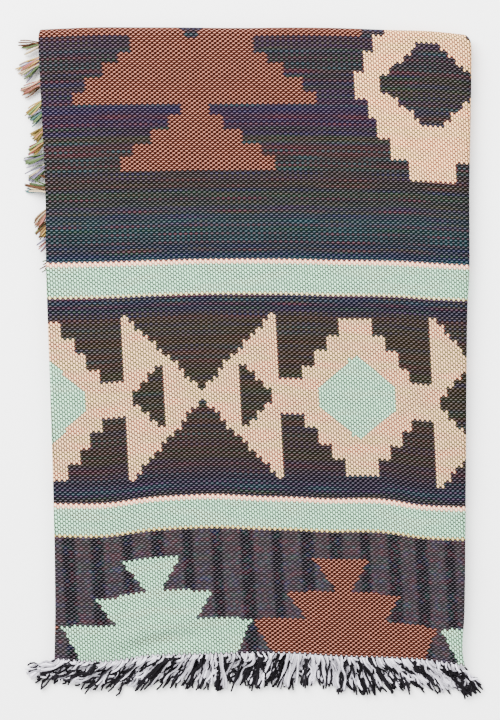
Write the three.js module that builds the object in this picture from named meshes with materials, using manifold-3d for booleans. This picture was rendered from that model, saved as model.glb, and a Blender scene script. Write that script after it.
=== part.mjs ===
// A woven cotton throw with fringed edges, folded to eight layers and laid flat.
//
// Millimetres. The face that shows looks up: +X is its right, +Y its top fold, and Z = 0 is the
// surface that it lies on. The origin lies under the middle of the folded cloth.
//
// The cloth is one sheet. Its section is folded back and forth into four panels, and that stack
// is folded in half over its top. A point of the stack is given by three measures:
//   across  from the left edge of the face towards its right edge
//   level   up through the four panels, from the inmost one
//   run     along the sheet from the top fold, positive in the upper half of the stack
import * as THREE from "three";
import Module from "manifold-3d";

const wasm = await Module();
wasm.setup();

// Driving sizes
const clothThickness = 1.8;
const layerPitch = 2.4; // from the middle of one layer to the middle of the next
const foldedWidth = 443;
const sheetLength = 1272; // between the two fringed ends
const bandWidth = 4; // the band that the fringe hangs from
const rootDepth = 2; // of each strand in that band
const partedBy = 0.3; // between the cloth's edge and that band
const endStrand = { length: 37, perPanel: 12, curl: 0.5 };
const sideStrand = { length: 28, perHalf: 20, slant: 24, slantSwing: 8, swingRun: 60 }; // in degrees
const strandRadius = { root: 0.6, middle: 0.9, tip: 0.55 };
const strandSteps = 4;

// Worked out from them
const halfThickness = clothThickness / 2;
const innerFoldRadius = layerPitch / 2;
const topLevel = 3 * layerPitch;
const innerBendRadius = layerPitch / 2;
const bendLength = Math.PI * (innerBendRadius + topLevel / 2);
const topReach = innerBendRadius + topLevel + halfThickness; // also half the stack's height
const foldedLength = topReach + (sheetLength - bendLength) / 2;

// How far the two sides of the stack lie in from a straight rectangle, down from its top fold
const sideInsets = [
  { down: 0, left: 1, right: 5 },
  { down: 12, left: 0, right: 2 },
  { down: 157, left: 7, right: 4 },
  { down: 243, left: 8, right: 4 },
  { down: 279, left: 9, right: 6 },
  { down: 360, left: 12, right: 7 },
  { down: 502, left: 16, right: 8 },
  { down: 584, left: 17, right: 9 },
  { down: 624, left: 16.5, right: 11 },
  { down: 645, left: 16, right: 6.5 },
];

// How far the crosswise threads sag below a straight line at four places down the stack
const rowsDown = { top: 0, upperStripe: 236, lowerStripe: 477, end: 637 };
const rowSags = [
  { across: 0, top: 2.4, upperStripe: 5, lowerStripe: 9.5, end: 6.7 },
  { across: 55, top: 0, upperStripe: 3.4, lowerStripe: 9.2, end: 9.2 },
  { across: 105, top: 0, upperStripe: 1.7, lowerStripe: 3, end: 3 },
  { across: 157, top: 0.2, upperStripe: 0.6, lowerStripe: 0, end: 1.3 },
  { across: 208, top: 0.8, upperStripe: 0, lowerStripe: 0, end: 0 },
  { across: 260, top: 0.2, upperStripe: 0.5, lowerStripe: 2, end: 0.5 },
  { across: 310, top: 0.8, upperStripe: 1.7, lowerStripe: 3.1, end: 3.6 },
  { across: 360, top: 2.7, upperStripe: 3.1, lowerStripe: 6.1, end: 5.1 },
  { across: 405, top: 4, upperStripe: 5.8, lowerStripe: 10.2, end: 7.6 },
  { across: 443, top: 8, upperStripe: 7.9, lowerStripe: 11, end: 13 },
];

// Soft swells and troughs of the stack, each a share of its height
const swells = [
  { across: 8, down: 330, acrossReach: 22, downReach: 420, rise: 0.05 },
  { across: 430, down: 300, acrossReach: 26, downReach: 380, rise: 0.06 },
  { across: 88, down: 500, acrossReach: 24, downReach: 120, rise: -0.07 },
  { across: 356, down: 490, acrossReach: 26, downReach: 110, rise: -0.06 },
  { across: 215, down: 300, acrossReach: 110, downReach: 170, rise: 0.04 },
  { across: 120, down: 628, acrossReach: 60, downReach: 18, rise: -0.06 },
  { across: 250, down: 12, acrossReach: 200, downReach: 30, rise: 0.04 },
  { across: 0, down: 560, acrossReach: 36, downReach: 190, rise: -0.15 },
];

// The two loose side edges lie behind the left fold, further in towards the end of the stack
const looseEdge = { insetAtTop: 6, insetAtEnd: 36, turnsInAt: 150, isInAt: 375 };

// Which way the end fringe is swept, in degrees to the right
const endSweep = [
  { across: 0, lean: -46 },
  { across: 140, lean: -38 },
  { across: 190, lean: -14 },
  { across: 260, lean: -4 },
  { across: 320, lean: 8 },
  { across: 370, lean: 28 },
  { across: 443, lean: 42 },
];

function eased(share) {
  const held = Math.min(Math.max(share, 0), 1);
  return held * held * (3 - 2 * held);
}

// A smooth curve through one column of a table
function columnAt(table, key, column, at) {
  const last = table.length - 1;
  if (at <= table[0][key]) return table[0][column];
  if (at >= table[last][key]) return table[last][column];
  const next = table.findIndex((row) => row[key] > at);
  const slope = (i) => {
    const before = table[Math.max(i - 1, 0)];
    const after = table[Math.min(i + 1, last)];
    return (after[column] - before[column]) / (after[key] - before[key]);
  };
  const low = table[next - 1];
  const high = table[next];
  const span = high[key] - low[key];
  const share = (at - low[key]) / span;
  const drift = span * share * (1 - share);
  const rise = (high[column] - low[column]) * eased(share);
  return low[column] + rise + drift * (slope(next - 1) * (1 - share) - slope(next) * share);
}

function sagAt(across, down) {
  const names = Object.keys(rowsDown);
  const rows = names.map((name) => ({
    down: rowsDown[name],
    sag: columnAt(rowSags, "across", name, across),
  }));
  return columnAt(rows, "down", "sag", down);
}

function swellAt(across, down) {
  const shares = swells.map((swell) => {
    const acrossShare = (across - swell.across) / swell.acrossReach;
    const downShare = (down - swell.down) / swell.downReach;
    return swell.rise * Math.exp(-(acrossShare ** 2) - downShare ** 2);
  });
  return shares.reduce((sum, share) => sum + share, 1);
}

// The place in space of a point of the stack
function place(across, level, run) {
  const radius = innerBendRadius + level;
  const straightRun = Math.abs(run) - bendLength / 2;
  const side = Math.sign(run);
  let rise = -straightRun;
  let height = topReach + side * radius;
  if (straightRun < 0) {
    const turn = (Math.PI * run) / bendLength;
    rise = radius * Math.cos(turn);
    height = topReach + radius * Math.sin(turn);
  }
  const down = topReach - rise;
  const left = columnAt(sideInsets, "down", "left", down);
  const right = columnAt(sideInsets, "down", "right", down);
  const width = foldedWidth - left - right;
  return new THREE.Vector3(
    left + (across / foldedWidth) * width - foldedWidth / 2,
    foldedLength / 2 - down - sagAt(across, down),
    height * swellAt(across, down),
  );
}

function looseInset(run) {
  const down = Math.abs(run);
  const share = (down - looseEdge.turnsInAt) / (looseEdge.isInAt - looseEdge.turnsInAt);
  return looseEdge.insetAtTop + (looseEdge.insetAtEnd - looseEdge.insetAtTop) * eased(share);
}

// The middle line of the section, from one loose edge to the other, with the way it faces
function sectionLine() {
  const columnsPerPanel = 11;
  const stepsPerFold = 4;
  const rightCentre = foldedWidth - halfThickness - 1.5 * layerPitch;
  const leftCentre = halfThickness + innerFoldRadius;
  const stations = [];
  const panel = ({ from, to, level, loose }) => {
    for (let i = 0; i <= columnsPerPanel; i += 1) {
      const across = from + ((to - from) * i) / columnsPerPanel;
      stations.push({ across, level, facesAcross: 0, facesUp: Math.sign(to - from), loose });
    }
  };
  const fold = ({ centre, level, radius, start, turn, facesOut }) => {
    for (let i = 1; i < stepsPerFold; i += 1) {
      const angle = start + (turn * i) / stepsPerFold;
      stations.push({
        across: centre + radius * Math.cos(angle),
        level: level + radius * Math.sin(angle),
        facesAcross: facesOut * Math.cos(angle),
        facesUp: facesOut * Math.sin(angle),
        loose: false,
      });
    }
  };
  const quarter = Math.PI / 2;
  panel({ from: 0, to: rightCentre, level: layerPitch, loose: true });
  fold({
    centre: rightCentre,
    level: 1.5 * layerPitch,
    radius: innerFoldRadius,
    start: -quarter,
    turn: Math.PI,
    facesOut: -1,
  });
  panel({ from: rightCentre, to: leftCentre, level: 2 * layerPitch, loose: false });
  fold({
    centre: leftCentre,
    level: 2.5 * layerPitch,
    radius: innerFoldRadius,
    start: -quarter,
    turn: -Math.PI,
    facesOut: 1,
  });
  panel({ from: leftCentre, to: rightCentre, level: topLevel, loose: false });
  fold({
    centre: rightCentre,
    level: 1.5 * layerPitch,
    radius: 1.5 * layerPitch,
    start: quarter,
    turn: -Math.PI,
    facesOut: 1,
  });
  panel({ from: rightCentre, to: 0, level: 0, loose: true });
  return { stations, rightCentre };
}

const section = sectionLine();

// One closed ring of the cloth's section: along one side of the middle line and back by the other
function sectionRing(run) {
  const narrowing = looseInset(run) / section.rightCentre;
  const ring = [];
  for (const side of [1, -1]) {
    const points = section.stations.map((station) => {
      const toFold = section.rightCentre - station.across;
      const across = station.across + (station.loose ? toFold * narrowing : 0);
      return place(
        across + side * halfThickness * station.facesAcross,
        station.level + side * halfThickness * station.facesUp,
        run,
      );
    });
    ring.push(...(side > 0 ? points : points.reverse()));
  }
  return ring;
}

// A closed skin over a row of rings. Each end is closed from one side of the ring to the other.
function skinOver(rings) {
  const count = rings[0].length;
  const triangles = [];
  for (let row = 0; row + 1 < rings.length; row += 1) {
    for (let i = 0; i < count; i += 1) {
      const here = row * count + i;
      const beside = row * count + ((i + 1) % count);
      triangles.push([here, beside + count, beside], [here, here + count, beside + count]);
    }
  }
  const lastRow = (rings.length - 1) * count;
  let low = 0;
  let high = count - 1;
  while (high - low > 1) {
    triangles.push([low, low + 1, high]);
    triangles.push([lastRow + low, lastRow + high, lastRow + low + 1]);
    low += 1;
    if (high - low > 1) {
      triangles.push([low, high - 1, high]);
      triangles.push([lastRow + low, lastRow + high, lastRow + high - 1]);
      high -= 1;
    }
  }
  return { points: rings.flat(), triangles };
}

function solidOf({ points, triangles }) {
  const vertProperties = new Float32Array(points.flatMap((point) => point.toArray()));
  const triVerts = new Uint32Array(triangles.flat());
  return new wasm.Manifold(new wasm.Mesh({ numProp: 3, vertProperties, triVerts }));
}

function geometryOf(solid) {
  const mesh = solid.getMesh();
  const geometry = new THREE.BufferGeometry();
  const positions = new Float32Array(mesh.numVert * 3);
  for (let i = 0; i < mesh.numVert; i += 1) {
    for (let axis = 0; axis < 3; axis += 1) {
      positions[3 * i + axis] = mesh.vertProperties[mesh.numProp * i + axis];
    }
  }
  geometry.setAttribute("position", new THREE.BufferAttribute(positions, 3));
  geometry.setIndex([...mesh.triVerts]);
  geometry.computeVertexNormals();
  return geometry;
}

// Places along the sheet: close together round the top fold, then evenly down both halves
function runsAlong() {
  const rowsPerHalf = 12;
  const stepsInBend = 6;
  const half = [];
  for (let i = 1; i <= rowsPerHalf; i += 1) {
    half.push(bendLength / 2 + ((sheetLength - bendLength) / 2) * (i / rowsPerHalf));
  }
  const bend = [];
  for (let i = 0; i <= stepsInBend; i += 1) {
    bend.push(-bendLength / 2 + (bendLength * i) / stepsInBend);
  }
  return [...half.map((run) => -run).reverse(), ...bend, ...half];
}

// Small even differences between strands, the same on every build
let shakeSeed = 11;
function shake(reach) {
  shakeSeed = (shakeSeed * 48271) % 2147483647;
  return reach * ((2 * shakeSeed) / 2147483647 - 1);
}

function strandRadiusAt(share) {
  const { root, middle, tip } = strandRadius;
  return share === 0 ? root : THREE.MathUtils.lerp(middle, tip, share);
}

// One strand: three sides, thinner to its tip
function strandAlong(pathAt) {
  const up = new THREE.Vector3(0, 0, 1);
  const middles = [];
  for (let i = 0; i <= strandSteps; i += 1) middles.push(pathAt(i / strandSteps));
  const rings = middles.map((middle, i) => {
    const before = middles[Math.max(i - 1, 0)];
    const after = middles[Math.min(i + 1, strandSteps)];
    const ahead = after.clone().sub(before).normalize();
    const beside = ahead.clone().cross(up).normalize();
    const above = beside.clone().cross(ahead);
    const radius = strandRadiusAt(i / strandSteps);
    return [90, 210, 330].map((degrees) => {
      const angle = THREE.MathUtils.degToRad(degrees);
      const offset = beside.clone().multiplyScalar(radius * Math.cos(angle));
      offset.addScaledVector(above, radius * Math.sin(angle));
      return middle.clone().add(offset);
    });
  });
  for (const point of rings.flat()) point.z = Math.max(point.z, 0);
  return solidOf(skinOver(rings));
}

// Brings a strand down from its layer until it lies level on the surface, on one of its sides
function comeDown(point, share, fallShare) {
  point.z = THREE.MathUtils.lerp(point.z, strandRadiusAt(share) / 2, eased(fallShare));
  return point;
}

// The fringe of one end of the sheet: a band that follows all four panels, and its strands
function endFringe(half) {
  const bandStart = sheetLength / 2 + partedBy;
  const bandEnd = bandStart + bandWidth;
  const rings = [bandStart, bandEnd].map((run) => sectionRing(half * run));
  if (half < 0) rings.reverse();
  let fringe = solidOf(skinOver(rings));
  const margin = 6;
  const lanes = 8 * endStrand.perPanel;
  const laneWidth = (foldedWidth - 2 * margin) / lanes;
  for (let panel = 0; panel < 4; panel += 1) {
    const lane = half > 0 ? panel : 7 - panel;
    const level = panel * layerPitch;
    const bandFrom = panel < 2 ? looseInset(bandStart) : 0;
    for (let i = 0; i < endStrand.perPanel; i += 1) {
      const across = margin + laneWidth * (8 * i + lane + 0.5) + shake(0.3);
      if (across < bandFrom + margin) continue;
      const sweep = columnAt(endSweep, "across", "lean", across);
      const lean = THREE.MathUtils.degToRad(sweep + shake(0.5));
      const length = endStrand.length + shake(4);
      fringe = fringe.add(
        strandAlong((share) => {
          const reach = share * length;
          const curl = endStrand.curl * Math.sin(2.4 * Math.PI * share + i);
          const point = place(
            across + reach * Math.sin(lean) + curl,
            level,
            half * (bandEnd - rootDepth + reach * Math.cos(lean)),
          );
          return comeDown(point, share, (share - 0.05) / 0.7);
        }),
      );
    }
  }
  return fringe;
}

// The fringe of one loose side edge: a band over the top fold from end to end, and its strands
function sideFringe(level, laneOffset) {
  const bandFrom = (run) => looseInset(run) - partedBy - bandWidth;
  const rings = runsAlong().map((run) => {
    const outer = bandFrom(run);
    const inner = outer + bandWidth;
    return [
      place(outer, level + halfThickness, run),
      place(inner, level + halfThickness, run),
      place(inner, level - halfThickness, run),
      place(outer, level - halfThickness, run),
    ];
  });
  let fringe = solidOf(skinOver(rings));
  const firstRun = bendLength / 2 + 12;
  const lastRun = sheetLength / 2 - 26;
  const lanes = 4 * sideStrand.perHalf;
  const pastFold = 2; // where a strand starts to fall, out from the fold above it
  const fallLength = 18;
  for (const half of [1, -1]) {
    const lane = half > 0 ? laneOffset : 3 - laneOffset;
    for (let i = 0; i < sideStrand.perHalf; i += 1) {
      const run = firstRun + ((lastRun - firstRun) * (4 * i + lane)) / lanes + shake(0.7);
      const swing = sideStrand.slantSwing * Math.sin(run / sideStrand.swingRun);
      const slant = THREE.MathUtils.degToRad(sideStrand.slant + swing + shake(2));
      const length = sideStrand.length + shake(2.5);
      fringe = fringe.add(
        strandAlong((share) => {
          const reach = share * length;
          const across = bandFrom(run) + rootDepth - reach * Math.cos(slant);
          const point = place(across, level, half * (run + reach * Math.sin(slant)));
          return comeDown(point, share, (-pastFold - across) / fallLength);
        }),
      );
    }
  }
  return fringe;
}

const colours = {
  cloth: 0x5a4a52,
  endFringe: 0xb9b6bd,
  sideFringe: 0x9aa07e,
};

function addPiece(group, name, solid, colour) {
  const material = new THREE.MeshStandardMaterial({ color: colour, roughness: 0.95, metalness: 0 });
  const mesh = new THREE.Mesh(geometryOf(solid), material);
  mesh.name = name;
  group.add(mesh);
}

const throwBlanket = new THREE.Group();
const cloth = solidOf(skinOver(runsAlong().map((run) => sectionRing(run))));
addPiece(throwBlanket, "cloth", cloth, colours.cloth);
addPiece(throwBlanket, "end_fringe_upper", endFringe(1), colours.endFringe);
addPiece(throwBlanket, "end_fringe_lower", endFringe(-1), colours.endFringe);
addPiece(throwBlanket, "side_fringe_outer", sideFringe(layerPitch, 0), colours.sideFringe);
addPiece(throwBlanket, "side_fringe_inner", sideFringe(0, 1), colours.sideFringe);

export default throwBlanket;
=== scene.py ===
import math
import random

import bpy
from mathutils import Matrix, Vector


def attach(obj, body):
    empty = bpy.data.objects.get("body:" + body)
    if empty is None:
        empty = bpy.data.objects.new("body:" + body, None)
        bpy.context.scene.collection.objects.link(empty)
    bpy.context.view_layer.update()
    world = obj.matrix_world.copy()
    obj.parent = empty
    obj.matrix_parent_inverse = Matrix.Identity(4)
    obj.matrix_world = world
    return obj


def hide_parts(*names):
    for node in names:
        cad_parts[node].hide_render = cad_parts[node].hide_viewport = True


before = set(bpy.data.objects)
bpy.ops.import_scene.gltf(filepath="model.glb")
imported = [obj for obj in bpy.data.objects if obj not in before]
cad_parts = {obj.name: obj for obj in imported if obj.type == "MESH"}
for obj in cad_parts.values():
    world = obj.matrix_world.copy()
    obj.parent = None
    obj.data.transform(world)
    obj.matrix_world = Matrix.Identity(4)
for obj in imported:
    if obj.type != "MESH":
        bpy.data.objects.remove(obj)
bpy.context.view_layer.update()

print("frame loaded with", len(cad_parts), "nodes")

# The folded throw, in metres. It lies on z = 0 with its top fold towards +Y.
throw = {
    "thickness": 0.0018,
    "pitch": 0.0024,  # from one layer's middle to the next
    "width": 0.443,
    "length": 1.272,  # between the two fringed ends
    "flat": (1.70, 1.272),
}
halfThick = throw["thickness"] / 2
foldRadius = throw["pitch"] / 2
topLevel = 3 * throw["pitch"]
bendLength = math.pi * (foldRadius + topLevel / 2)
outerBend = foldRadius + topLevel
topReach = outerBend + halfThick
foldedLength = topReach + (throw["length"] - bendLength) / 2

# How far the sides of the stack lie in from a straight rectangle
sideInsets = [
    {"down": 0.000, "left": 0.001, "right": 0.005},
    {"down": 0.012, "left": 0.000, "right": 0.002},
    {"down": 0.157, "left": 0.007, "right": 0.004},
    {"down": 0.243, "left": 0.008, "right": 0.004},
    {"down": 0.279, "left": 0.009, "right": 0.006},
    {"down": 0.360, "left": 0.012, "right": 0.007},
    {"down": 0.502, "left": 0.016, "right": 0.008},
    {"down": 0.584, "left": 0.017, "right": 0.009},
    {"down": 0.624, "left": 0.0165, "right": 0.011},
    {"down": 0.645, "left": 0.016, "right": 0.0065},
]

# How far the crosswise yarns sag, at four places down the stack
rowsDown = {"top": 0.0, "upperStripe": 0.236, "lowerStripe": 0.477, "end": 0.637}
rowSags = [
    {"across": 0.000, "top": 0.0024, "upperStripe": 0.0043, "lowerStripe": 0.0089, "end": 0.0067},
    {"across": 0.055, "top": 0.0000, "upperStripe": 0.0033, "lowerStripe": 0.0086, "end": 0.0092},
    {"across": 0.105, "top": 0.0000, "upperStripe": 0.0018, "lowerStripe": 0.0025, "end": 0.0030},
    {"across": 0.157, "top": 0.0002, "upperStripe": 0.0004, "lowerStripe": -0.0004, "end": 0.0013},
    {"across": 0.183, "top": 0.0006, "upperStripe": 0.0001, "lowerStripe": -0.0004, "end": 0.0005},
    {"across": 0.220, "top": 0.0007, "upperStripe": 0.0000, "lowerStripe": 0.0013, "end": -0.0001},
    {"across": 0.258, "top": 0.0002, "upperStripe": 0.0002, "lowerStripe": 0.0022, "end": 0.0004},
    {"across": 0.297, "top": 0.0005, "upperStripe": 0.0012, "lowerStripe": 0.0039, "end": 0.0028},
    {"across": 0.324, "top": 0.0012, "upperStripe": 0.0015, "lowerStripe": 0.0037, "end": 0.0041},
    {"across": 0.350, "top": 0.0023, "upperStripe": 0.0019, "lowerStripe": 0.0041, "end": 0.0047},
    {"across": 0.371, "top": 0.0030, "upperStripe": 0.0024, "lowerStripe": 0.0066, "end": 0.0055},
    {"across": 0.388, "top": 0.0033, "upperStripe": 0.0034, "lowerStripe": 0.0096, "end": 0.0063},
    {"across": 0.405, "top": 0.0040, "upperStripe": 0.0045, "lowerStripe": 0.0111, "end": 0.0076},
    {"across": 0.443, "top": 0.0080, "upperStripe": 0.0065, "lowerStripe": 0.0121, "end": 0.0130},
]

# Soft swells and creases of the stack: turn is in degrees, rise a share of its height
swells = [
    {"across": 0.008, "down": 0.330, "wide": 0.022, "long": 0.420, "turn": 0, "rise": 0.05},
    {"across": 0.430, "down": 0.300, "wide": 0.026, "long": 0.380, "turn": 0, "rise": 0.06},
    {"across": 0.088, "down": 0.500, "wide": 0.024, "long": 0.120, "turn": 0, "rise": -0.07},
    {"across": 0.356, "down": 0.490, "wide": 0.026, "long": 0.110, "turn": 0, "rise": -0.06},
    {"across": 0.215, "down": 0.300, "wide": 0.110, "long": 0.170, "turn": 0, "rise": 0.04},
    {"across": 0.250, "down": 0.012, "wide": 0.200, "long": 0.030, "turn": 0, "rise": 0.04},
    {"across": 0.000, "down": 0.560, "wide": 0.036, "long": 0.190, "turn": 0, "rise": -0.15},
    {"across": 0.104, "down": 0.626, "wide": 0.0075, "long": 0.045, "turn": 80, "rise": -0.32},
    {"across": 0.120, "down": 0.609, "wide": 0.010, "long": 0.060, "turn": 78, "rise": 0.08},
    {"across": 0.052, "down": 0.385, "wide": 0.010, "long": 0.050, "turn": 30, "rise": -0.04},
    {"across": 0.290, "down": 0.170, "wide": 0.016, "long": 0.110, "turn": -20, "rise": -0.03},
]

# The loose side edges lie behind the left fold, further in towards the end of the stack
looseEdge = {"insetAtTop": 0.006, "insetAtEnd": 0.036, "turnsInAt": 0.150, "isInAt": 0.375}


def eased(share):
    held = min(max(share, 0), 1)
    return held * held * (3 - 2 * held)


def blended(low, high, share):
    return low + (high - low) * share


# A smooth curve through one column of a table
def columnAt(table, key, column, at):
    if at <= table[0][key]:
        return table[0][column]
    if at >= table[-1][key]:
        return table[-1][column]
    high = next(i for i, row in enumerate(table) if row[key] > at)

    def slope(i):
        before, after = table[max(i - 1, 0)], table[min(i + 1, len(table) - 1)]
        return (after[column] - before[column]) / (after[key] - before[key])

    start, stop = table[high - 1], table[high]
    span = stop[key] - start[key]
    share = (at - start[key]) / span
    drift = span * share * (1 - share)
    rise = (stop[column] - start[column]) * eased(share)
    return start[column] + rise + drift * (slope(high - 1) * (1 - share) - slope(high) * share)


def sagAt(across, down):
    rows = [
        {"down": rowsDown[name], "sag": columnAt(rowSags, "across", name, across)}
        for name in rowsDown
    ]
    return columnAt(rows, "down", "sag", down)


def swellAt(across, down):
    total = 1
    for swell in swells:
        turn = math.radians(swell["turn"])
        aside, along = across - swell["across"], down - swell["down"]
        wideShare = (aside * math.cos(turn) + along * math.sin(turn)) / swell["wide"]
        longShare = (along * math.cos(turn) - aside * math.sin(turn)) / swell["long"]
        total += swell["rise"] * math.exp(-(wideShare**2) - longShare**2)
    return total


def sidesAt(down):
    return [columnAt(sideInsets, "down", side, down) for side in ("left", "right")]


def downAt(level, run):
    straight = abs(run) - bendLength / 2
    if straight >= 0:
        return topReach + straight
    return topReach - (foldRadius + level) * math.cos(math.pi * run / bendLength)


# The place in space of a point of the stack: across the face, up its layers, along the sheet
def place(across, level, run):
    radius = foldRadius + level
    turn = math.pi * min(max(run / bendLength, -0.5), 0.5)
    down = downAt(level, run)
    left, right = sidesAt(down)
    width = throw["width"] - left - right
    return Vector((
        left + across / throw["width"] * width - throw["width"] / 2,
        foldedLength / 2 - down - sagAt(across, down),
        (topReach + radius * math.sin(turn)) * swellAt(across, down),
    ))


def looseInset(run):
    share = (abs(run) - looseEdge["turnsInAt"]) / (looseEdge["isInAt"] - looseEdge["turnsInAt"])
    return blended(looseEdge["insetAtTop"], looseEdge["insetAtEnd"], eased(share))


# Where a point of the sheet lies in the weave: metres along and across its yarns
weave = {
    "column": 0.00267,  # half of one float's width, so every other column starts a float
    "row": 0.002105,  # from one row of floats to the next
    "lean": 0.053,  # how far the lengthwise yarns drift to the right on their way down
    "crowdedFrom": 0.262,  # across from the left, where they start to lie closer
    "crowding": 0.0043,
    "crowdedOver": 0.140,
}


def threadsAt(alongSection, run):
    down = downAt(topLevel, run)
    left, right = sidesAt(down)
    scale = (throw["width"] - left - right) / throw["width"]
    beyond = max(min(alongSection, throw["width"]) - weave["crowdedFrom"], 0) / weave["crowdedOver"]
    across = left + alongSection * scale - weave["lean"] * down + weave["crowding"] * beyond**2
    arc = outerBend * math.pi / 2
    runShare = min(max(run / (bendLength / 2), -1), 1)
    straight = max(abs(run) - bendLength / 2, 0)
    return across, topReach - arc * (1 - runShare) + math.copysign(straight, run)


# The middle line of the folded section, with the way it faces and its length from the left fold
def sectionLine(columnsPerPanel, stepsPerFold):
    rightCentre = throw["width"] - halfThick - 1.5 * throw["pitch"]
    leftCentre = halfThick + foldRadius
    stations = []

    def panel(start, stop, level, loose):
        for i in range(columnsPerPanel + 1):
            across = blended(start, stop, i / columnsPerPanel)
            faces = (0, math.copysign(1, stop - start))
            stations.append({"across": across, "level": level, "faces": faces, "loose": loose})

    def fold(centre, level, radius, start, turn, facesOut):
        for i in range(1, stepsPerFold):
            angle = start + turn * i / stepsPerFold
            way = (math.cos(angle), math.sin(angle))
            stations.append({
                "across": centre + radius * way[0],
                "level": level + radius * way[1],
                "faces": (facesOut * way[0], facesOut * way[1]),
                "loose": False,
            })

    quarter, pitch = math.pi / 2, throw["pitch"]
    panel(0, rightCentre, pitch, True)
    fold(rightCentre, 1.5 * pitch, foldRadius, -quarter, math.pi, -1)
    panel(rightCentre, leftCentre, 2 * pitch, False)
    fold(leftCentre, 2.5 * pitch, foldRadius, -quarter, -math.pi, 1)
    panel(leftCentre, rightCentre, 3 * pitch, False)
    fold(rightCentre, 1.5 * pitch, 1.5 * pitch, quarter, -math.pi, 1)
    panel(rightCentre, 0, 0, True)

    length = 0
    stations[0]["along"] = 0
    for before, here in zip(stations, stations[1:]):
        length += math.hypot(here["across"] - before["across"], here["level"] - before["level"])
        here["along"] = length
    leftFold = min(stations[columnsPerPanel + 1:-columnsPerPanel - 1], key=lambda s: s["across"])
    middle = leftFold["along"]
    for station in stations:
        station["along"] -= middle
    return stations, rightCentre


def linear(hexColour):
    parts = [int(hexColour[i:i + 2], 16) / 255 for i in (1, 3, 5)]
    return tuple(c / 12.92 if c <= 0.04045 else ((c + 0.055) / 1.055) ** 2.4 for c in parts) + (1,)


# Adds one shader node with its settings, sets or links its inputs in order, fills a colour ramp
# with its stops, and gives back its first output
def addNode(tree, kind, *inputs, stops=(), ramp="LINEAR", **settings):
    node = tree.nodes.new("ShaderNode" + kind)
    for name, value in settings.items():
        setattr(node, name, value)
    if stops:
        node.color_ramp.interpolation = ramp
        while len(node.color_ramp.elements) < len(stops):
            node.color_ramp.elements.new(1)
        for element, (at, colour) in zip(node.color_ramp.elements, stops):
            element.position = at
            element.color = colour
    sockets = [socket for socket in node.inputs if socket.enabled]
    for socket, value in zip(sockets, inputs):
        if isinstance(value, bpy.types.NodeSocket):
            tree.links.new(value, socket)
        else:
            socket.default_value = value
    return next(socket for socket in node.outputs if socket.enabled)


# Every surface here is dull: fibres scatter what little light they mirror
def newMaterial(name, roughness):
    material = bpy.data.materials.new(name)
    material.use_nodes = True
    tree = material.node_tree
    shader = tree.nodes["Principled BSDF"]
    shader.inputs["Roughness"].default_value = roughness
    shader.inputs["IOR"].default_value = 1.5
    shader.inputs["Specular IOR Level"].default_value = 0.02
    return material, tree, shader


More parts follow.
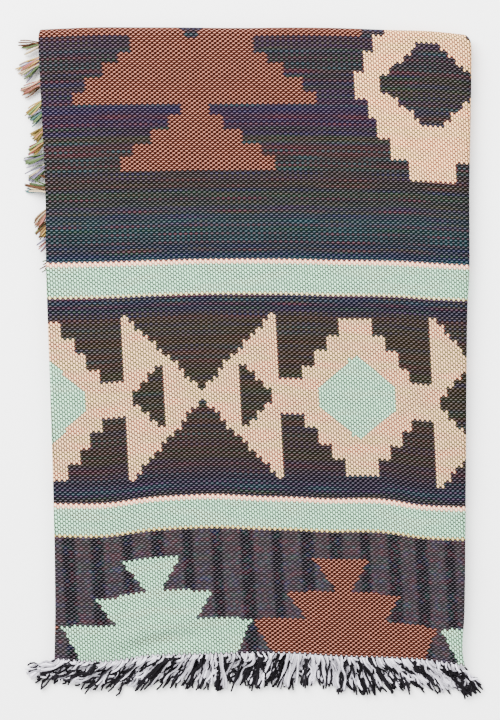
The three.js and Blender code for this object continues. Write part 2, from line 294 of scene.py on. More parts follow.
# The pattern, counted as a weaver would: rows down from the top fold, and columns of half floats
# across from the left fold. Each step of a figure is the row that it starts in, or how far that is
# from the middle row of its band, and the figure's half width from there on.
stackSteps = [(256, 11.4), (271.8, 2.9), (272, 22.9), (285.8, 15.6), (286, 36.7), (303, 29.8)]
chart = {
    "rows": 320,
    "mostColumns": 64,
    "mirrorRow": -2,  # the pattern turns back here, just behind the top fold
    "middleRow": 178,
    "stackRow": 256,
    "stackLean": 0.025,
    "stripColumns": 123.5,
    "figures": {
        "tree": {"centre": 58, "steps": [
            (5, 23), (12, 28), (18, 34), (25, 41), (31, 46), (38, 5), (43, 10), (50, 17), (56, 24),
            (63, 29), (70, 0),
        ]},
        "notch": {"centre": 58, "steps": [(-10, 5), (0, 4), (2, 2.4), (5, 0)]},
        "shield": {"centre": 149, "steps": [
            (-8, 16), (3, 21), (11, 25), (21, 29), (34, 24.5), (43, 21), (53, 16), (63, 9.5),
            (74, 0),
        ]},
        "heart": {"centre": 149.6, "steps": [
            (6, 5), (10, 7.5), (13, 10.5), (16, 14), (19, 16.5), (22, 20), (31, 16), (34, 13),
            (37, 10.5), (40.5, 7.5), (43.5, 5), (46.4, 0),
        ]},
        "diamond": {"centre": -4.5, "period": 119.3, "fromMiddle": True, "steps": [
            (0, 31), (9, 21), (15.5, 16.3), (22.5, 11.5), (30, 6.7), (37.5, 0),
        ]},
        "hexagon": {"centre": -4.5, "period": 119.3, "fromMiddle": True, "slopes": True, "steps": [
            (0, 14.9), (5.6, 14.9), (20.0, 1.4), (20.6, 0),
        ]},
        "hourglass": {"centre": 55, "period": 119.3, "half": 30},
        "opening": {"centre": 55, "period": 119.3, "fromMiddle": True, "steps": [
            (0, 0), (2, 1.6), (6, 4.6), (9, 6.6), (12, 8.5), (16, 11.4), (20, 14), (23, 16.5),
            (26, 19), (30, 21.5), (33, 24), (36, 26.5), (40, 40),
        ]},
        "wedge": {"centre": 55, "period": 119.3, "fromMiddle": True, "steps": [
            (0, 26.4), (4, 23.4), (8, 20.4), (11.5, 17.5), (15.5, 0),
        ]},
        "waist": {"centre": 55, "period": 119.3, "half": 14.2},
        "mintStack": {
            "centre": 32.2, "period": 146.6, "leans": True, "slopes": True, "steps": stackSteps,
        },
        "orangeStack": {
            "centre": 104.9, "period": 146.6, "leans": True, "slopes": True, "steps": stackSteps,
        },
        "bars": {"centre": 0.9, "period": 11.36, "half": 2.3},
    },
    "bands": {
        "topStrip": (-400, 4.5),
        "upperStripe": (113, 129.5),
        "lowerStripe": (227, 242.5),
        "barred": (242.5, 400),
        "stackRows": (255.5, 400),
        "comb": (302.3, 400),
    },
    # how the figures and bands make up the places of each yarn: a result, and what goes into it
    "combined": [
        ("hourglass", "SUBTRACT", "hourglass", "opening"),
        ("wedge", "SUBTRACT", "wedge", "waist"),
        ("sand", "MAXIMUM", "hourglass", "diamond"),
        ("sand", "SUBTRACT", "sand", "wedge"),
        ("beige", "SUBTRACT", "shield", "heart"),
        ("topStrip", "MULTIPLY", "topStrip", "stripColumns"),
        ("orange", "MAXIMUM", "tree", "topStrip"),
        ("orange", "SUBTRACT", "orange", "notch"),
        ("orangeStack", "MULTIPLY", "orangeStack", "stackRows"),
        ("orange", "MAXIMUM", "orange", "orangeStack"),
        ("mintStack", "MULTIPLY", "mintStack", "stackRows"),
        ("mint", "MAXIMUM", "upperStripe", "lowerStripe"),
        ("mint", "MAXIMUM", "mint", "mintStack"),
        ("mint", "MAXIMUM", "mint", "hexagon"),
        ("bars", "MULTIPLY", "bars", "barred"),
        ("betweenBars", "SUBTRACT", "barred", "bars"),
    ],
    "borders": [
        {"rows": (112.5, 114.5), "gap": "#a06450", "float": "#f0ccac"},
        {"rows": (128.6, 129.5), "gap": "#685c3c", "float": "#d0c498"},
        {"rows": (227, 229), "gap": "#a06450", "float": "#f0ccac"},
        {"rows": (241.6, 242.5), "gap": "#60502c", "float": "#c8b478"},
    ],
}

# Each yarn's light floats, the gaps round them, and a float's half size in metres. Light figures
# show short upright floats, dark and orange ones long flat floats.
uprightFloat = (0.00116, 0.00172, 1.0)
groundYarn = {"gap": "#020102", "float": "#4a444a", "half": (0.00158, 0.00060, 1.0)}
yarns = {
    "orange": {"gap": "#200803", "float": "#a06a5c", "half": (0.00156, 0.00060, 1.0)},
    "beige": {"gap": "#2c1712", "float": "#f2bc86", "half": uprightFloat, "streaks": 0.16},
    "sand": {"gap": "#281812", "float": "#dcb086", "half": uprightFloat, "streaks": 0.16},
    "mint": {"gap": "#243127", "float": "#9cceae", "half": uprightFloat, "streaks": 0.06},
    "comb": {"gap": "#3a3438", "float": "#dcd8e4", "half": (0.00090, 0.00200, 1.0)},
}

# The ground's crosswise yarns change colour down the face: rows, and the colour there
groundBands = [
    (0, "#4c4044"), (7, "#483c44"), (10, "#542e50"), (16, "#4c3044"), (20, "#4c402c"),
    (28, "#483644"), (37, "#502a52"), (44, "#442a54"), (52, "#4c3044"), (54, "#5c402a"),
    (66, "#54402c"), (76, "#464434"), (84, "#364e46"), (92, "#2a5656"), (94, "#007480"),
    (96, "#265456"), (104, "#225056"), (109, "#1e3a60"), (129, "#1c3464"), (137, "#2e3452"),
    (140, "#5c4c12"), (178, "#584c16"), (207, "#4e4420"), (218, "#382c4c"), (226, "#30284e"),
    (243, "#4c4246"), (303, "#4c4246"),
]

# Woven cotton: a dense dull cloth, whose short light floats make the eye see fine grain
cotton = {
    "roughness": 0.92,
    "turn": 0.12,  # radians: each float leans a little with the twist of its yarn
    "crown": (0.65, 1.1),  # where a float gives way to the gap, in shares of its half size
    "barColour": "#0c1c20",
    "barShare": 0.85,
    "heartColour": "#4a4c1c",
    "heartShare": 0.75,
    "heartRow": 22,  # from here down the heart of the shield has wefts of its own
    "strayColours": [
        "#007880", "#22347c", "#901c40", "#1c6c3a", "#5a2c70", "#605a18", "#121214", "#84382c",
    ],
    "strayRows": [(0, 1.0), (139, 0.6), (219, 1.0), (242.5, 0.3)],  # how strong they are from there
    "strayNoise": (0.36, 0.66),  # the part of the noise that counts, and the shares it gives
    "strayShare": (0.04, 0.70),
    "strayChange": (18.0, 475.0, 0),  # changes of strength per metre, along and across the wefts
    "fleckColours": [(0.0, "#000000"), (0.70, "#5c1024"), (0.82, "#0a4a40"), (0.93, "#14245c")],
    "streakColours": [(0.36, "#b04840"), (0.50, "#5a5044"), (0.64, "#5c7a40")],
    "streakChange": (16.0, 90.0, 0),
    "gapTint": 0.045,  # how much of the crosswise yarn shows in the gaps and on the floats
    "barredTint": 0.09,
    "floatTint": 0.2,
    "fleckTint": 0.08,
    "fibres": 2500.0,  # per metre: coarser than real fibres, so that they show
    "fibreNoise": (0.3, 0.7),
    "fibreShade": (0.82, 1.12),
    "floatShade": (0.9, 1.1),
    "crownReach": 1.3,  # a float's own height runs out here, a little past its half size
    "fibreHeight": 0.15,
    "bump": (0.7, 0.0006),
}


def awayFrom(tree, value, centre, period=None):
    away = addNode(tree, "Math", value, centre, operation="SUBTRACT")
    if period:
        away = addNode(tree, "Math", away, period / 2, -period / 2, operation="WRAP")
    return addNode(tree, "Math", away, operation="ABSOLUTE")


# A figure's half width at each row: in steps, or on straight slopes between them
def halfWidth(tree, figure, row):
    steps = figure["steps"]
    first = min(steps[0][0], 0)
    span = chart["rows"] - first
    stops = [(0.0, (0, 0, 0, 1))] if steps[0][0] > 0 else []
    for start, half in steps:
        width = half / chart["mostColumns"]
        stops.append(((start - 0.5 - first) / span, (width, width, width, 1)))
    share = addNode(tree, "MapRange", row, first, chart["rows"], 0.0, 1.0)
    ramp = "LINEAR" if figure.get("slopes") else "CONSTANT"
    width = addNode(tree, "ValToRGB", share, stops=stops, ramp=ramp)
    return addNode(tree, "Math", width, chart["mostColumns"], operation="MULTIPLY")


def bandOfRows(tree, row, rows):
    start, stop = (addNode(tree, "Math", row, edge, operation="LESS_THAN") for edge in rows)
    return addNode(tree, "Math", stop, start, operation="SUBTRACT")


# The places where each yarn comes to the face, as masks from the chart
def chartMasks(tree, column, row):
    fromMiddle = awayFrom(tree, row, chart["middleRow"])
    fromTop = addNode(tree, "Math", row, chart["stackRow"], operation="SUBTRACT")
    shift = addNode(tree, "Math", fromTop, chart["stackLean"], operation="MULTIPLY")
    upright = addNode(tree, "Math", column, shift, operation="SUBTRACT")
    masks = {
        "stripColumns": addNode(tree, "Math", column, chart["stripColumns"], operation="LESS_THAN")
    }
    for name, figure in chart["figures"].items():
        across = upright if figure.get("leans") else column
        away = awayFrom(tree, across, figure["centre"], figure.get("period"))
        down = fromMiddle if figure.get("fromMiddle") else row
        half = figure["half"] if "half" in figure else halfWidth(tree, figure, down)
        masks[name] = addNode(tree, "Math", away, half, operation="LESS_THAN")
    for name, rows in chart["bands"].items():
        masks[name] = bandOfRows(tree, row, rows)
    for name, operation, one, other in chart["combined"]:
        masks[name] = addNode(
            tree, "Math", masks[one], masks[other], operation=operation, use_clamp=True
        )
    return masks


# Floats sit like bricks: every place belongs to the nearest one, in a diamond round it. Gives the
# way from that float's centre, and the centre.
def nearestFloat(tree, threads):
    reach = (weave["column"], weave["row"], 0)
    back = (-weave["column"], -weave["row"], 0)
    onEven = addNode(tree, "VectorMath", threads, reach, back, operation="WRAP")
    shifted = addNode(tree, "VectorMath", threads, reach, operation="ADD")
    onOdd = addNode(tree, "VectorMath", shifted, reach, back, operation="WRAP")
    absolute = addNode(tree, "VectorMath", onEven, operation="ABSOLUTE")
    perReach = (1 / weave["column"], 1 / weave["row"], 0)
    nearness = addNode(tree, "VectorMath", absolute, perReach, operation="DOT_PRODUCT")
    odd = addNode(tree, "Math", nearness, 1.0, operation="GREATER_THAN")
    offset = addNode(tree, "Mix", odd, onEven, onOdd, data_type="VECTOR")
    return offset, addNode(tree, "VectorMath", threads, offset, operation="SUBTRACT")


# The colour of the crosswise yarns: a slow change of bands, single stray rows, and bars
def weftColour(tree, centre, row, rowDown, masks):
    share = addNode(tree, "Math", row, chart["rows"], operation="DIVIDE")
    bands = [(at / chart["rows"], linear(colour)) for at, colour in groundBands]
    weft = addNode(tree, "ValToRGB", share, stops=bands)
    low = addNode(tree, "Math", cotton["heartRow"], row, operation="LESS_THAN")
    lowHeart = addNode(tree, "Math", masks["heart"], low, operation="MULTIPLY")
    heartShare = addNode(tree, "Math", lowHeart, cotton["heartShare"], operation="MULTIPLY")
    heartColour = linear(cotton["heartColour"])
    weft = addNode(tree, "Mix", heartShare, weft, heartColour, data_type="RGBA")

    count = len(cotton["strayColours"])
    colours = [(i / count, linear(colour)) for i, colour in enumerate(cotton["strayColours"])]
    rowNoise = addNode(tree, "TexWhiteNoise", rowDown, noise_dimensions="1D")
    stray = addNode(tree, "ValToRGB", rowNoise, stops=colours, ramp="CONSTANT")
    slowPlace = addNode(tree, "VectorMath", centre, cotton["strayChange"], operation="MULTIPLY")
    slow = addNode(tree, "TexNoise", slowPlace, 1.0, 1.0, noise_dimensions="2D")
    strength = addNode(tree, "MapRange", slow, *cotton["strayNoise"], *cotton["strayShare"])
    strengths = [(at / chart["rows"], (part, part, part, 1)) for at, part in cotton["strayRows"]]
    calm = addNode(tree, "ValToRGB", share, stops=strengths, ramp="CONSTANT")
    strength = addNode(tree, "Math", strength, calm, operation="MULTIPLY")
    weft = addNode(tree, "Mix", strength, weft, stray, data_type="RGBA")

    bars = addNode(tree, "Math", masks["bars"], cotton["barShare"], operation="MULTIPLY")
    return addNode(tree, "Mix", bars, weft, linear(cotton["barColour"]), data_type="RGBA")


def wovenCotton():
    material, tree, shader = newMaterial("woven cotton", cotton["roughness"])
    threads = addNode(tree, "UVMap", uv_map="threads")
    offset, centre = nearestFloat(tree, threads)
    reach = (weave["column"], weave["row"], 1)
    counted = addNode(tree, "VectorMath", centre, reach, operation="DIVIDE")
    split = addNode(tree, "SeparateXYZ", counted).node
    column = addNode(tree, "Math", split.outputs["X"], operation="ROUND")
    rowDown = addNode(tree, "Math", split.outputs["Y"], operation="ROUND")
    mirrored = awayFrom(tree, rowDown, chart["mirrorRow"])
    row = addNode(tree, "Math", mirrored, chart["mirrorRow"], operation="ADD")
    masks = chartMasks(tree, column, row)
    weft = weftColour(tree, centre, row, rowDown, masks)

    # The yarns between the floats take stray colours too: single ones in the barred end, and soft
    # streaks of red and green in the light figures
    single = addNode(tree, "TexWhiteNoise", centre, noise_dimensions="3D")
    flecks = [(at, linear(colour)) for at, colour in cotton["fleckColours"]]
    fleck = addNode(tree, "ValToRGB", single, stops=flecks, ramp="CONSTANT")
    streakPlace = addNode(tree, "VectorMath", centre, cotton["streakChange"], operation="MULTIPLY")
    streakNoise = addNode(tree, "TexNoise", streakPlace, 1.0, noise_dimensions="2D")
    streaks = [(at, linear(colour)) for at, colour in cotton["streakColours"]]
    streak = addNode(tree, "ValToRGB", streakNoise, stops=streaks)

    darkGap, darkFloat = linear(groundYarn["gap"]), linear(groundYarn["float"])
    gap = addNode(tree, "Mix", cotton["gapTint"], darkGap, weft, data_type="RGBA")
    light = addNode(tree, "Mix", cotton["floatTint"], darkFloat, weft, data_type="RGBA")
    for name, tint, colour in (("betweenBars", "barredTint", weft), ("barred", "fleckTint", fleck)):
        share = addNode(tree, "Math", masks[name], cotton[tint], operation="MULTIPLY")
        gap = addNode(tree, "Mix", share, gap, colour, data_type="RGBA")
    half = groundYarn["half"]
    for name, yarn in yarns.items():
        plain = linear(yarn["gap"])
        tinted = addNode(tree, "Mix", yarn.get("streaks", 0.0), plain, streak, data_type="RGBA")
        gap = addNode(tree, "Mix", masks[name], gap, tinted, data_type="RGBA")
        light = addNode(tree, "Mix", masks[name], light, linear(yarn["float"]), data_type="RGBA")
        half = addNode(tree, "Mix", masks[name], half, yarn["half"], data_type="VECTOR")
    for border in chart["borders"]:
        mask = bandOfRows(tree, row, border["rows"])
        gap = addNode(tree, "Mix", mask, gap, linear(border["gap"]), data_type="RGBA")
        light = addNode(tree, "Mix", mask, light, linear(border["float"]), data_type="RGBA")

    # One float: a rounded grain, brightest on its crown
    turned = addNode(
        tree, "VectorRotate", offset, (0.0, 0.0, 0.0), cotton["turn"], rotation_type="Z_AXIS"
    )
    scaled = addNode(tree, "VectorMath", turned, half, operation="DIVIDE")
    distance = addNode(tree, "VectorMath", scaled, operation="LENGTH").node.outputs["Value"]
    grain = addNode(tree, "MapRange", distance, *cotton["crown"], 1.0, 0.0)
    colour = addNode(tree, "Mix", grain, gap, light, data_type="RGBA")
    fibres = addNode(tree, "TexNoise", threads, cotton["fibres"], 2.0, noise_dimensions="2D")
    fibreShade = addNode(
        tree, "MapRange", fibres, *cotton["fibreNoise"], *cotton["fibreShade"]
    )
    floatShade = addNode(tree, "MapRange", single, 0.0, 1.0, *cotton["floatShade"])
    shade = addNode(tree, "Math", fibreShade, floatShade, operation="MULTIPLY")
    shaded = addNode(tree, "VectorMath", colour, shade, operation="MULTIPLY")
    tree.links.new(shaded, shader.inputs["Base Color"])

    crown = addNode(tree, "MapRange", distance, 0.0, cotton["crownReach"], 1.0, 0.0)
    fibreHeight = addNode(tree, "Math", fibres, cotton["fibreHeight"], operation="MULTIPLY")
    height = addNode(tree, "Math", crown, fibreHeight, operation="ADD")
    bump = addNode(tree, "Bump", *cotton["bump"])
    tree.links.new(height, bump.node.inputs["Height"])
    tree.links.new(bump, shader.inputs["Normal"])
    return material


def makeMesh(name, points, faces, corners, material, tints=None):
    mesh = bpy.data.meshes.new(name)
    mesh.from_pydata(points, [], faces)
    layer = mesh.uv_layers.new(name="threads")
    layer.data.foreach_set("uv", [value for corner in corners for value in corner])
    if tints:
        colours = mesh.color_attributes.new("yarn", "FLOAT_COLOR", "POINT")
        colours.data.foreach_set("color", [value for tint in tints for value in tint])
    mesh.materials.append(material)
    mesh.polygons.foreach_set("use_smooth", [True] * len(mesh.polygons))
    mesh.update()
    piece = bpy.data.objects.new(name, mesh)
    bpy.context.collection.objects.link(piece)
    return piece


# The sheet itself, swept down the stack as one closed skin
clothPiece = {"columnsPerPanel": 40, "stepsPerFold": 8, "rowsPerHalf": 104, "stepsInBend": 14}


def runsAlong(rowsPerHalf, stepsInBend):
    straight = (throw["length"] - bendLength) / 2
    shares = [(i + 1) / rowsPerHalf for i in range(rowsPerHalf)]
    # the rows come closer together towards the fringed end
    half = [bendLength / 2 + straight * share * (1.3 - 0.3 * share) for share in shares]
    bend = [bendLength * (i / stepsInBend - 0.5) for i in range(stepsInBend + 1)]
    return [-run for run in reversed(half)] + bend + half


def buildCloth(material):
    stations, rightCentre = sectionLine(clothPiece["columnsPerPanel"], clothPiece["stepsPerFold"])
    runs = runsAlong(clothPiece["rowsPerHalf"], clothPiece["stepsInBend"])
    points, threads = [], []
    for run in runs:
        narrowing = looseInset(run) / rightCentre
        for side in (1, -1):
            for station in stations if side > 0 else reversed(stations):
                across, along = station["across"], station["along"]
                if station["loose"]:
                    toFold = rightCentre - across
                    across += toFold * narrowing
                    along -= math.copysign(toFold * narrowing, along)
                facesAcross, facesUp = station["faces"]
                level = station["level"] + side * halfThick * facesUp
                points.append(place(across + side * halfThick * facesAcross, level, run))
                threads.append(threadsAt(along, run))
    count = 2 * len(stations)
    faces = []
    for row in range(len(runs) - 1):
        for i in range(count):
            here, beside = row * count + i, row * count + (i + 1) % count
            faces.append((here, here + count, beside + count, beside))
    lastRow = (len(runs) - 1) * count
    for i in range(len(stations) - 1):
        faces.append((i, i + 1, count - 2 - i, count - 1 - i))
        here, facing = lastRow + i, lastRow + count - 1 - i
        faces.append((here, facing, facing - 1, here + 1))
    corners = [threads[i] for face in faces for i in face]
    return makeMesh("cloth-sheet", points, faces, corners, material)


# Twisted cotton yarn: soft and dull, with a fine slanting twist that the eye reads as rope, and
# painted shade in the grooves between its plies
twist = {
    "roughness": 0.95,
    "pitch": 0.0022,
    "plies": 2,
    # painted shade: the shares of the yarn's colour kept in the grooves between the plies and on
    # their crowns
    "shade": (0.72, 1.08),
    "bump": (0.6, 0.00025),
}


def twistedYarn(name):
    material, tree, shader = newMaterial(name, twist["roughness"])
    turns = addNode(tree, "UVMap", uv_map="threads")
    split = addNode(tree, "SeparateXYZ", turns).node
    along = addNode(tree, "Math", split.outputs["Y"], twist["pitch"], operation="DIVIDE")
    phase = addNode(tree, "Math", along, split.outputs["X"], operation="ADD")
    wave = addNode(tree, "Math", phase, 2 * math.pi * twist["plies"], operation="MULTIPLY")
    ply = addNode(tree, "Math", wave, operation="SINE")
    colour = addNode(tree, "Attribute", attribute_name="yarn")
    # painted shade: the colour darkens along the twist, in the grooves between the plies
    shade = addNode(tree, "MapRange", ply, -1.0, 1.0, *twist["shade"])
    twisted = addNode(tree, "VectorMath", colour, shade, operation="MULTIPLY")
    tree.links.new(twisted, shader.inputs["Base Color"])
    bump = addNode(tree, "Bump", *twist["bump"])
    tree.links.new(ply, bump.node.inputs["Height"])
    tree.links.new(bump, shader.inputs["Normal"])
    return material


def shaded(hexColour, shade):
    return tuple(shade * c for c in linear(hexColour)[:3]) + (1,)


def newBundle():
    return {"points": [], "faces": [], "corners": [], "tints": []}


# A yarn is thinner where it leaves the cloth and at its cut end
yarnThickness = {"atRoot": 0.8, "fullFrom": 0.2, "atTip": 0.85}


def addYarn(bundle, path, radius, sides, tint):
    start = len(bundle["points"])
    up = Vector((0, 0, 1))
    length, lengths = 0, []
    for i, middle in enumerate(path):
        before, after = path[max(i - 1, 0)], path[min(i + 1, len(path) - 1)]
        ahead = (after - before).normalized()
        beside = ahead.cross(up).normalized()
        above = beside.cross(ahead)
        share = i / (len(path) - 1)
        swollen = blended(yarnThickness["atRoot"], 1, eased(share / yarnThickness["fullFrom"]))
        thick = radius * (swollen if share < 1 else yarnThickness["atTip"])
        for j in range(sides):
            angle = 2 * math.pi * j / sides
            point = middle + beside * (thick * math.cos(angle)) + above * (thick * math.sin(angle))
            point.z = max(point.z, 0)
            bundle["points"].append(point)
            bundle["tints"].append(tint)
        length += (middle - before).length if i else 0
        lengths.append(length)
    for i in range(len(path) - 1):
        for j in range(sides):
            here, beside = start + i * sides + j, start + i * sides + (j + 1) % sides
            bundle["faces"].append((here, here + sides, beside + sides, beside))
            low, high = j / sides, (j + 1) / sides
            bundle["corners"] += [
                (low, lengths[i]), (low, lengths[i + 1]), (high, lengths[i + 1]), (high, lengths[i])
            ]
    lastRing = start + (len(path) - 1) * sides
    bundle["faces"].append(tuple(start + j for j in range(sides)))
    bundle["faces"].append(tuple(lastRing + sides - 1 - j for j in range(sides)))
    bundle["corners"] += [(0, 0)] * (2 * sides)


# End fringe: every lengthwise yarn leaves the edge straight, then sweeps off with its strand
endFringe = {
    "radius": 0.00115,
    "sides": 5,
    "steps": 12,
    # from yarn to yarn, for the four panels of each half: densest on the face
    "spacings": {1: (0.0027, 0.0027, 0.0027, 0.00133), -1: (0.0027, 0.0027, 0.0027, 0.0027)},
    "yarnJitter": 0.12,
    "strandWidth": 0.0027,
    "strandJitter": 0.25,
    "insideEdge": 0.0008,  # how far inside the cloth's edge a yarn starts
    "besideCorner": 0.002,
    "blackBelow": 0.0008,  # black yarns start a little under the white ones
    "lyingHeight": {1: 0.0022, -1: 0.0002},  # the upper half's strands lie on the lower half's
    "heightPerLayer": 0.0008,
    "settles": 0.5,  # the share of that height that a yarn has lost at its tip
    "lift": 0.0026,
    "gather": 0.85,
    "turnedBy": 0.22,  # shares of a yarn's length, by which it has done so
    "gatheredBy": 0.6,
    "dropsFrom": 0.06,
    "dropsFor": 0.6,
    "strandSpread": {"lean": 9, "curl": 38},  # degrees
    "yarnSpread": {"lean": 3, "curl": 4},
    "yarnLengths": (0.97, 1.02),
    "waves": (1.2, 2.4),
    "white": {"colour": "#dcd8e4", "lengths": (0.68, 0.95), "shades": (0.40, 1.15)},
    "black": {"colour": "#201e22", "lengths": (0.92, 1.05), "shades": (0.30, 0.95)},
    # which way the strands have been swept, how much they wave, and how many of them are black
    "sweep": [
        {"across": 0.000, "lean": -70, "curl": -8, "length": 0.046, "black": 0.39},
        {"across": 0.020, "lean": -70, "curl": -14, "length": 0.046, "black": 0.41},
        {"across": 0.058, "lean": -66, "curl": -22, "length": 0.048, "black": 0.45},
        {"across": 0.099, "lean": -60, "curl": -26, "length": 0.048, "black": 0.47},
        {"across": 0.144, "lean": -52, "curl": -22, "length": 0.045, "black": 0.43},
        {"across": 0.168, "lean": -22, "curl": -8, "length": 0.040, "black": 0.29},
        {"across": 0.180, "lean": -12, "curl": 8, "length": 0.041, "black": 0.35},
        {"across": 0.200, "lean": -38, "curl": 26, "length": 0.042, "black": 0.45},
        {"across": 0.222, "lean": -20, "curl": 36, "length": 0.041, "black": 0.55},
        {"across": 0.243, "lean": -32, "curl": -14, "length": 0.042, "black": 0.43},
        {"across": 0.266, "lean": -16, "curl": -10, "length": 0.040, "black": 0.29},
        {"across": 0.289, "lean": 8, "curl": 12, "length": 0.035, "black": 0.08},
        {"across": 0.312, "lean": 0, "curl": 6, "length": 0.041, "black": 0.35},
        {"across": 0.325, "lean": 12, "curl": -12, "length": 0.042, "black": 0.53},
        {"across": 0.348, "lean": 42, "curl": -20, "length": 0.043, "black": 0.49},
        {"across": 0.388, "lean": 48, "curl": -16, "length": 0.044, "black": 0.43},
        {"across": 0.426, "lean": 46, "curl": -30, "length": 0.042, "black": 0.43},
        {"across": 0.443, "lean": 30, "curl": -34, "length": 0.037, "black": 0.37},
    ],
}


# Yarns of one colour cling together in strands two or three yarns wide
def strandsAcross(lengths, chance):
    width, spread = endFringe["strandWidth"], endFringe["strandSpread"]
    jitter = endFringe["strandJitter"]
    strands = []
    for i in range(int(throw["width"] / width) + 1):
        across = width * (i + 0.5 + chance.uniform(-jitter, jitter))
        sweep = {
            key: columnAt(endFringe["sweep"], "across", key, across)
            for key in ("lean", "curl", "length")
        }
        strands.append({
            "across": across,
            "lean": sweep["lean"] + chance.gauss(0, spread["lean"]),
            "curl": sweep["curl"] + chance.gauss(0, spread["curl"]),
            "waves": chance.uniform(*endFringe["waves"]),
            "length": sweep["length"] * chance.uniform(*lengths),
            "lift": chance.uniform(0.0, endFringe["lift"]),
        })
    return strands


def sweptYarn(across, level, half, strand, lyingHeight, chance):
    steps, spread = endFringe["steps"], endFringe["yarnSpread"]
    lean = math.radians(strand["lean"] + chance.gauss(0, spread["lean"]))
    curl = math.radians(strand["curl"] + chance.gauss(0, spread["curl"]))
    length = strand["length"] * chance.uniform(*endFringe["yarnLengths"])
    gather = endFringe["gather"] * (strand["across"] - across)
    run = throw["length"] / 2 - endFringe["insideEdge"]
    aside = 0
    path = [place(across, level, half * run)]
    for i in range(1, steps + 1):
        share = i / steps
        turned = eased(share / endFringe["turnedBy"])
        heading = lean * turned + curl * math.sin(2 * math.pi * strand["waves"] * share) * turned
        aside += math.sin(heading) * length / steps
        run += math.cos(heading) * length / steps
        gathered = gather * eased(share / endFringe["gatheredBy"])
        point = place(across + aside + gathered, level, half * run)
        settled = lyingHeight * (1 - endFringe["settles"] * share)
        lying = endFringe["radius"] + strand["lift"] + settled
        dropped = eased((share - endFringe["dropsFrom"]) / endFringe["dropsFor"])
        point.z = blended(point.z, lying, dropped)
        path.append(point)
    return path


def buildEndFringe(name, half, seed, material):
    chance = random.Random(seed)
    bundle = newBundle()
    yarnColours = (endFringe["white"], endFringe["black"])
    spacings, jitter = endFringe["spacings"][half], endFringe["yarnJitter"]
    for panel, spacing in enumerate(spacings):
        strands = [strandsAcross(yarn["lengths"], chance) for yarn in yarnColours]
        level = panel * throw["pitch"]
        layersBelow = panel if half > 0 else len(spacings) - 1 - panel
        lyingHeight = endFringe["lyingHeight"][half] + endFringe["heightPerLayer"] * layersBelow
        start = looseInset(throw["length"] / 2) if panel < 2 else 0
        count = int((throw["width"] - topLevel - start) / spacing)
        for i in range(count):
            beside = spacing * (i + 0.5 + chance.uniform(-jitter, jitter))
            across = start + endFringe["besideCorner"] + beside
            isBlack = chance.random() < columnAt(endFringe["sweep"], "across", "black", across)
            strand = strands[isBlack][int(across / endFringe["strandWidth"])]
            yarnLevel = level - (endFringe["blackBelow"] if isBlack else 0)
            path = sweptYarn(across, yarnLevel, half, strand, lyingHeight, chance)
            yarn = yarnColours[isBlack]
            tint = shaded(yarn["colour"], chance.uniform(*yarn["shades"]))
            addYarn(bundle, path, endFringe["radius"], endFringe["sides"], tint)
    return makeMesh(
        name, bundle["points"], bundle["faces"], bundle["corners"], material, bundle["tints"]
    )


# Side fringe: fine coloured yarns in small tufts that come out behind the left fold
sideFringe = {
    "radius": 0.00078,
    "sides": 5,
    "steps": 9,
    "behindEdge": 0.0002,
    "placeSpread": 0.0022,
    "slantSpread": 5,  # degrees
    "bow": (4, 8),
    "gather": 0.5,
    "gatheredBy": 0.5,
    "lift": (0.0008, 0.0046),
    "dropsFrom": 0.001,  # metres out from the straight edge, where the yarns start to drop
    "dropsOver": 0.024,
    "lengths": (0.82, 1.06),
    "shades": (0.6, 1.25),
    "colours": {
        "green": "#4a5a3a", "leaf": "#667648", "pink": "#a06458", "red": "#74303a",
        "yellow": "#a08448", "lavender": "#6c647a", "teal": "#42605e", "cream": "#b8a484",
        "brown": "#543a2a", "olive": "#64562e",
    },
    "tuftValues": ("down", "length", "slant", "yarns", "colours"),
    "tufts": [
        (0.0120, 0.028, 0, 1, ("brown",)),
        (0.0130, 0.025, 16, 2, ("green", "cream", "brown")),
        (0.0250, 0.033, 30, 6, ("yellow", "lavender", "cream", "pink")),
        (0.0300, 0.028, 36, 2, ("green", "leaf", "cream")),
        (0.0500, 0.028, 16, 6, ("pink", "teal", "brown", "cream")),
        (0.0680, 0.028, 37, 4, ("leaf", "yellow", "green")),
        (0.0790, 0.023, 34, 4, ("lavender", "teal", "green")),
        (0.0945, 0.022, 34, 4, ("olive", "brown", "yellow", "pink")),
        (0.1085, 0.027, 28, 5, ("leaf", "yellow", "red", "teal")),
        (0.1250, 0.029, 12, 4, ("teal", "lavender", "green")),
        (0.1345, 0.028, 30, 4, ("green", "lavender", "cream")),
        (0.1510, 0.014, -26, 1, ("brown",)),
        (0.1600, 0.028, -10, 4, ("brown", "teal", "green", "cream")),
        (0.1750, 0.028, 48, 4, ("pink", "brown", "cream")),
        (0.1890, 0.025, 44, 4, ("leaf", "yellow", "brown")),
        (0.2035, 0.025, 36, 2, ("pink", "lavender")),
        (0.2300, 0.023, 30, 2, ("green", "brown")),
        (0.2560, 0.023, 34, 2, ("teal", "cream")),
        (0.2740, 0.025, 30, 2, ("brown", "yellow")),
        (0.2960, 0.029, 34, 2, ("pink", "green")),
        (0.3200, 0.034, 36, 2, ("olive", "cream")),
        (0.3440, 0.040, 38, 2, ("yellow", "brown")),
    ],
    # the tufts further down lie hidden behind the fold
    "hidden": {"from": 0.385, "to": 0.615, "spacing": 0.02},
    "hiddenTuft": {"length": 0.03, "slant": 25, "yarns": 2},
}


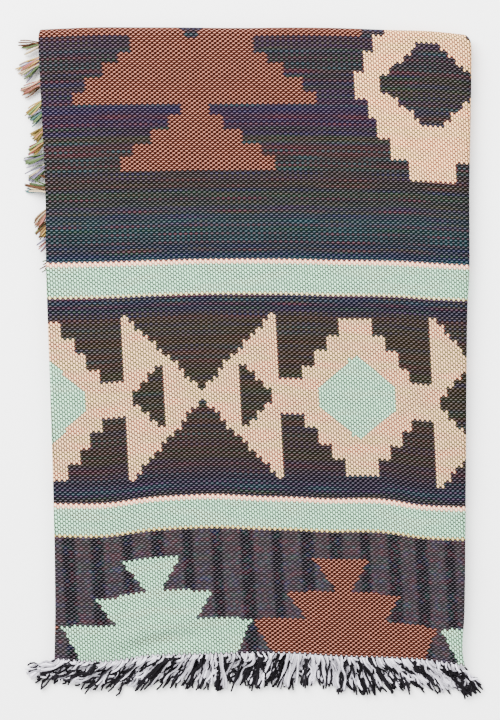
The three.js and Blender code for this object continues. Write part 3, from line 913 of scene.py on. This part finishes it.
def tuftYarn(level, half, tuft, chance):
    steps = sideFringe["steps"]
    slant = math.radians(tuft["slant"] + chance.gauss(0, sideFringe["slantSpread"]))
    bow = math.radians(chance.gauss(*sideFringe["bow"]))
    length = tuft["length"] * chance.uniform(*sideFringe["lengths"])
    run = tuft["down"] + chance.gauss(0, sideFringe["placeSpread"])
    gather = sideFringe["gather"] * (tuft["down"] - run)
    across = looseInset(run) - sideFringe["behindEdge"]
    lift = chance.uniform(*sideFringe["lift"])
    path = []
    for i in range(steps + 1):
        share = i / steps
        heading = slant + bow * math.sin(math.pi * share)
        if i:
            across -= math.cos(heading) * length / steps
            run += math.sin(heading) * length / steps
        gathered = gather * eased(share / sideFringe["gatheredBy"])
        point = place(across, level, half * (run + gathered))
        dropped = eased((-sideFringe["dropsFrom"] - across) / sideFringe["dropsOver"])
        point.z = blended(point.z, lift, dropped)
        path.append(point)
    return path


def buildSideFringe(name, level, seed, material):
    chance = random.Random(seed)
    bundle = newBundle()
    hidden = sideFringe["hidden"]
    tufts = [dict(zip(sideFringe["tuftValues"], tuft)) for tuft in sideFringe["tufts"]]
    for i in range(int((hidden["to"] - hidden["from"]) / hidden["spacing"])):
        colours = tuple(chance.sample(list(sideFringe["colours"]), 3))
        down = hidden["from"] + i * hidden["spacing"]
        tufts.append({**sideFringe["hiddenTuft"], "down": down, "colours": colours})
    for half in (1, -1):
        for tuft in tufts:
            for _yarn in range(tuft["yarns"]):
                path = tuftYarn(level, half, tuft, chance)
                colour = sideFringe["colours"][chance.choice(tuft["colours"])]
                tint = shaded(colour, chance.uniform(*sideFringe["shades"]))
                addYarn(bundle, path, sideFringe["radius"], sideFringe["sides"], tint)
    return makeMesh(
        name, bundle["points"], bundle["faces"], bundle["corners"], material, bundle["tints"]
    )


def declare(piece, node):
    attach(piece, "root")
    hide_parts(node)


sheet = buildCloth(wovenCotton())
declare(sheet, "cloth")
print("cloth built with", len(sheet.data.polygons), "faces")

warpYarn = twistedYarn("warp yarn, twisted cotton")
weftYarn = twistedYarn("weft yarn, fine cotton")
fringes = [
    buildEndFringe("end-fringe-upper", half=1, seed=3, material=warpYarn),
    buildEndFringe("end-fringe-lower", half=-1, seed=5, material=warpYarn),
    buildSideFringe("side-fringe-outer", level=throw["pitch"], seed=7, material=weftYarn),
    buildSideFringe("side-fringe-inner", level=0, seed=9, material=weftYarn),
]
fringeNodes = ["end_fringe_upper", "end_fringe_lower", "side_fringe_outer", "side_fringe_inner"]
fringeSlots = ["warp_yarn", "warp_yarn", "weft_yarn", "weft_yarn"]
for piece, node, slot in zip(fringes, fringeNodes, fringeSlots):
    declare(piece, node)
    print(piece.name, "built with", len(piece.data.polygons), "faces")

# The set: a plain pale floor in soft daylight from above
studio = {
    "floorSize": 6.0,
    "floorColour": "#f4f4f4",
    "skyStrength": 2.05,
    "softboxes": [
        {"place": (-1.1, 1.5, 2.0), "size": 2.2, "power": 370},
        {"place": (1.5, -0.9, 2.4), "size": 2.0, "power": 70},
    ],
}


# Matt white card: a clean pale ground that shows the stack's soft shadow
def buildFloor():
    reach = studio["floorSize"] / 2
    corners = [(-reach, -reach, 0), (reach, -reach, 0), (reach, reach, 0), (-reach, reach, 0)]
    mesh = bpy.data.meshes.new("floor")
    mesh.from_pydata(corners, [], [(0, 1, 2, 3)])
    material, _tree, shader = newMaterial("floor, matt white card", 0.9)
    shader.inputs["Base Color"].default_value = linear(studio["floorColour"])
    mesh.materials.append(material)
    floor = bpy.data.objects.new("floor", mesh)
    bpy.context.collection.objects.link(floor)


def addSoftbox(softbox):
    light = bpy.data.lights.new("softbox", "AREA")
    light.size = softbox["size"]
    light.energy = softbox["power"]
    lamp = bpy.data.objects.new("softbox", light)
    lamp.location = softbox["place"]
    lamp.rotation_euler = (-Vector(softbox["place"])).to_track_quat("-Z", "Y").to_euler()
    bpy.context.collection.objects.link(lamp)


buildFloor()
for softbox in studio["softboxes"]:
    addSoftbox(softbox)
world = bpy.data.worlds.new("studio")
world.use_nodes = True
sky = world.node_tree.nodes["Background"]
sky.inputs["Color"].default_value = (1, 1, 1, 1)
sky.inputs["Strength"].default_value = studio["skyStrength"]
bpy.context.scene.world = world

# The camera looks straight down on the middle of the photograph's view
view = {"height": 2.6, "tall": 0.732, "across": -0.006, "up": -0.0206}
camera = bpy.data.cameras.new("camera")
camera.lens = camera.sensor_width * (view["height"] - 2 * topReach) / view["tall"]
eye = bpy.data.objects.new("camera", camera)
eye.location = (view["across"], view["up"], view["height"])
bpy.context.collection.objects.link(eye)
bpy.context.scene.camera = eye
print("studio lit and camera set")
